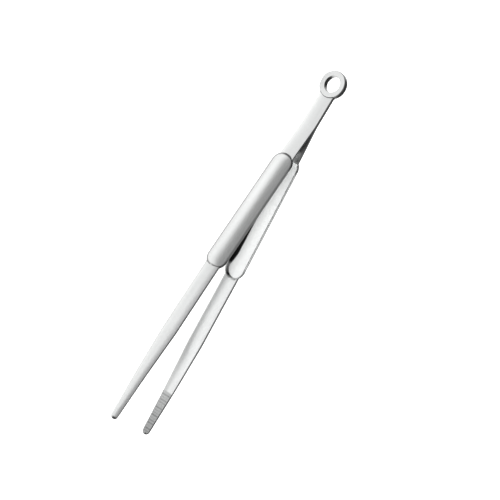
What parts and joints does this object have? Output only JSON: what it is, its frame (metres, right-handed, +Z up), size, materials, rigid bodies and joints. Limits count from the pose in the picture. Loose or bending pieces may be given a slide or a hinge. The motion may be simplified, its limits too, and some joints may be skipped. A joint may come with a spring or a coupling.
{
  "type": "print tongs",
  "caption": "Long slim sprung tongs of satin stainless steel with a hanging ring, half-round grips and grooved tapered tips.",
  "frame": {"origin": "on the surface that the tongs lie on, on their side, below the middle of their length and midway between the arms", "axes": "+X from the hanging ring to the tips, +Y from the front arm to the rear arm, +Z up, across the width of the arms"},
  "size_m": [0.31, 0.0516, 0.0219],
  "materials": {
    "ring_steel": "satin, polished edges",
    "leaf_steel": "satin, brushed along its length",
    "grip_steel": "semi-bright, brushed along its length",
    "jaw_steel": "satin, brushed along its length"
  },
  "bodies": {
    "ring_and_leaves": {"hanging_ring": "ring_steel", "front_spring_leaf": "leaf_steel", "rear_spring_leaf": "leaf_steel"},
    "front_arm": {"front_grip_shell": "grip_steel", "front_jaw": "jaw_steel"},
    "rear_arm": {"rear_grip_shell": "grip_steel", "rear_jaw": "jaw_steel"}
  },
  "joints": [
    {"name": "front_arm_flex", "type": "hinge", "parent": "ring_and_leaves", "child": "front_arm", "pos_m": [-0.09705, -0.0024, 0.01095], "axis": [0, 0, 1], "range_deg": [0, 5.15], "stiffness_Nm_per_rad": 10, "deforming": ["front_spring_leaf"]},
    {"name": "rear_arm_flex", "type": "hinge", "parent": "ring_and_leaves", "child": "rear_arm", "pos_m": [-0.09705, 0.0024, 0.01095], "axis": [0, 0, -1], "range_deg": [0, 5.15], "stiffness_Nm_per_rad": 10, "deforming": ["rear_spring_leaf"]}
  ]
}
